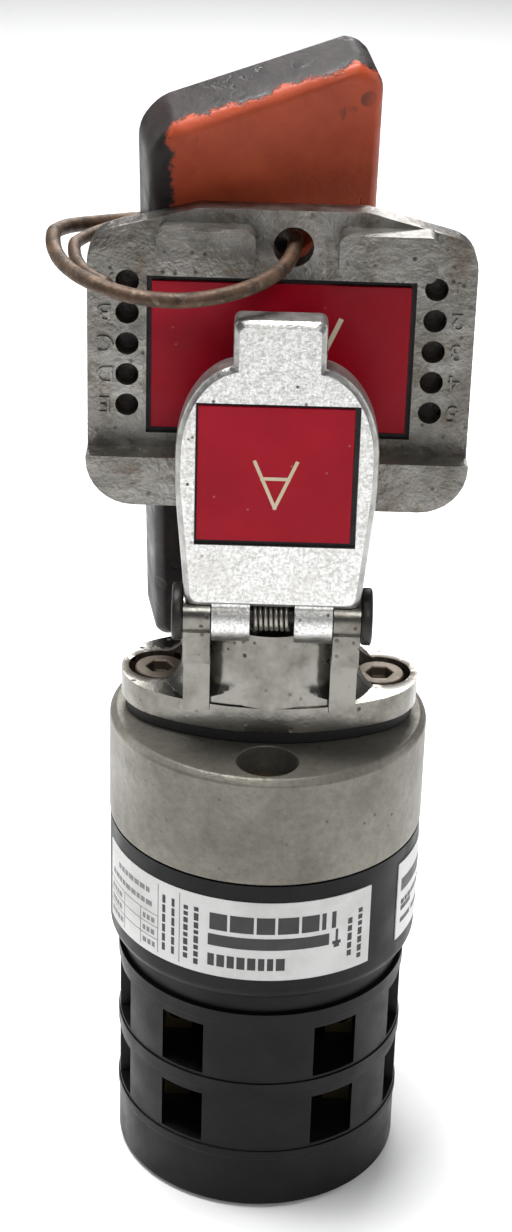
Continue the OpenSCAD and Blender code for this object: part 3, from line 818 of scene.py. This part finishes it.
def wrapped_bar(work, a0, a1, z0, z1):
    steps = max(1, int(abs(a1 - a0) / 3))
    inner, outer = LABEL_R - 0.05, LABEL_R + PRINT_LIFT
    rows = []
    for i in range(steps + 1):
        a = a0 + (a1 - a0) * i / steps
        rows.append([work.verts.new(label_point(a, z, r)) for z, r in
                     ((z0, outer), (z1, outer), (z1, inner), (z0, inner))])
    for low, high in zip(rows, rows[1:]):
        for k in range(4):
            j = (k + 1) % 4
            work.faces.new((low[k], high[k], high[j], low[j]))
    work.faces.new(rows[0])
    work.faces.new(list(reversed(rows[-1])))


def print_piece(name, bars, material):
    work = bmesh.new()
    for bar in bars:
        wrapped_bar(work, *bar)
    bmesh.ops.recalc_face_normals(work, faces=work.faces[:])
    new_piece(name, mesh_from(work, name), material, "housing")


def dashes(a0, a1, z0, z1, seed, widths=(1.6, 3.4), gap=0.7):
    """A row of small dark dashes of uneven length, in place of words."""
    pick = random.Random(seed)
    bars = []
    a = a0
    while a < a1 - widths[0]:
        wide = min(pick.uniform(*widths), a1 - a)
        bars.append((a, a + wide, z0, z1))
        a += wide + gap
    return bars


def upright_dashes(a0, a1, z0, z1, seed, heights=(0.7, 1.4), gap=0.35):
    """The same, running up the label."""
    pick = random.Random(seed)
    bars = []
    z = z0
    while z < z1 - heights[0]:
        tall = min(pick.uniform(*heights), z1 - z)
        bars.append((a0, a1, z, z + tall))
        z += tall + gap
    return bars


def build_print():
    bold = []
    for a0, a1 in ((-19, -12.5), (-11.5, -3), (-2, 4.5), (5.5, 13), (14, 20.5), (21.5, 27)):
        bold.append((a0, a1, 53.9, 56.9))
    bold.append((-19.5, 24.5, 51.0, 53.1))
    bold += dashes(-19.5, 10, 47.3, 49.5, 3, (2.2, 3.4), 0.9)
    bold += upright_dashes(-38.5, -33.0, 47.2, 57.6, 5, (1.2, 1.5), 0.3)
    bold += upright_dashes(-29.2, -27.4, 47.4, 57.0, 7)
    bold += upright_dashes(-25.0, -23.2, 46.8, 57.8, 9)
    bold += upright_dashes(32.0, 33.8, 48.0, 55.0, 11)
    bold += upright_dashes(36.4, 38.2, 47.0, 56.6, 13)
    bold += [(27.0, 28.0, 50.6, 53.6), (25.8, 29.2, 50.9, 51.5), (26.4, 28.6, 50.3, 50.9)]
    print_piece("label_print", bold, INK)
    rules = [(-75, -40.5, z, z + 0.14) for z in (48.4, 50.6, 52.8)]
    rules += [(-40.7, -40.4, 46.2, 58.8), (-50, -49.7, 46.2, 52.8), (-61, -60.7, 46.2, 52.8)]
    rules += [(-31.0, -30.7, 46.2, 58.8)]
    for row, z in enumerate((46.8, 49.0, 51.2)):
        rules += dashes(-73, -62, z, z + 0.9, 20 + row, (1.4, 2.4))
        rules += dashes(-48.5, -42, z, z + 0.9, 30 + row, (1.4, 2.4))
    rules += dashes(-72, -42, 54.0, 54.9, 40)
    rules += dashes(-66, -45, 56.3, 57.2, 41)
    print_piece("label_rules", rules, FAINT_INK)
    side = [(61, 70, z, z + 0.9) for z in (48.5, 50.8)] + [(72, 84, 48.5, 49.4), (60.5, 118, 54.5, 56.8)]
    side += dashes(61, 116, 51.9, 52.8, 50) + dashes(86, 116, 48.5, 49.4, 51)
    print_piece("side_label_print", side, INK)


build_print()


# ---------- floor, light and camera ----------

WORLD_COLOR = (0.93, 0.95, 1.0, 1)
WORLD_STRENGTH = 0.17
# Name, place, size and power of each lamp; all of them aim at the middle of the part
LIGHTS = (
    ("overhead", (-0.10, 0.06, 0.80), (0.36, 0.26), 11),
    ("front_fill", (0.15, -0.9, 0.75), (0.45, 0.3), 3),
    ("back_top", (0.05, 0.85, 0.62), (0.5, 0.22), 5),
    ("left_rim", (-0.7, 0.2, 0.35), (0.3, 0.6), 1.6),
    ("right_rim", (0.7, 0.15, 0.30), (0.3, 0.6), 1.6),
)


def area_light(name, place, target, size, power):
    data = bpy.data.lights.new(name, "AREA")
    data.shape = "RECTANGLE"
    data.size, data.size_y = size
    data.energy = power
    lamp = bpy.data.objects.new(name, data)
    lamp.location = place
    lamp.rotation_euler = (Vector(target) - Vector(place)).to_track_quat("-Z", "Y").to_euler()
    bpy.context.scene.collection.objects.link(lamp)


def build_stage():
    bpy.ops.mesh.primitive_plane_add(size=6, location=(0, 0, 0))
    floor = bpy.context.object
    floor.name = "floor"
    s = Shader("pale_floor", 0.0, 0.85, 0.2)
    s.set("Base Color", (0.86, 0.86, 0.86, 1))
    floor.data.materials.append(s.mat)
    world = bpy.data.worlds.new("studio")
    world.use_nodes = True
    background = world.node_tree.nodes["Background"]
    background.inputs["Color"].default_value = WORLD_COLOR
    background.inputs["Strength"].default_value = WORLD_STRENGTH
    bpy.context.scene.world = world
    bpy.context.scene.view_settings.view_transform = "Standard"
    for name, place, size, power in LIGHTS:
        area_light(name, place, (0, 0, 0.11), size, power)


build_stage()

CAMERA_DISTANCE = 0.3726
CAMERA_HEIGHT_ANGLE = math.radians(25.5)
CAMERA_ROLL = math.radians(1.66)
CAMERA_TARGET = Vector((-0.00236, 0, 0.0961))
FOCAL_PIXELS = 2400
FRAME_TALL = 1232


def build_camera():
    back = Vector((0, -math.cos(CAMERA_HEIGHT_ANGLE), math.sin(CAMERA_HEIGHT_ANGLE)))
    level = Vector((1, 0, 0))
    up = back.cross(level)
    right = level * math.cos(CAMERA_ROLL) + up * math.sin(CAMERA_ROLL)
    top = back.cross(right)
    data = bpy.data.cameras.new("camera")
    data.sensor_fit = "VERTICAL"
    data.sensor_height = 36
    data.lens = FOCAL_PIXELS / FRAME_TALL * data.sensor_height
    data.clip_start = 0.01
    camera = bpy.data.objects.new("camera", data)
    turn = Matrix((right, top, back)).transposed()
    camera.matrix_world = Matrix.Translation(CAMERA_TARGET + back * CAMERA_DISTANCE) @ turn.to_4x4()
    bpy.context.scene.collection.objects.link(camera)
    bpy.context.scene.camera = camera


build_camera()
bpy.context.view_layer.update()
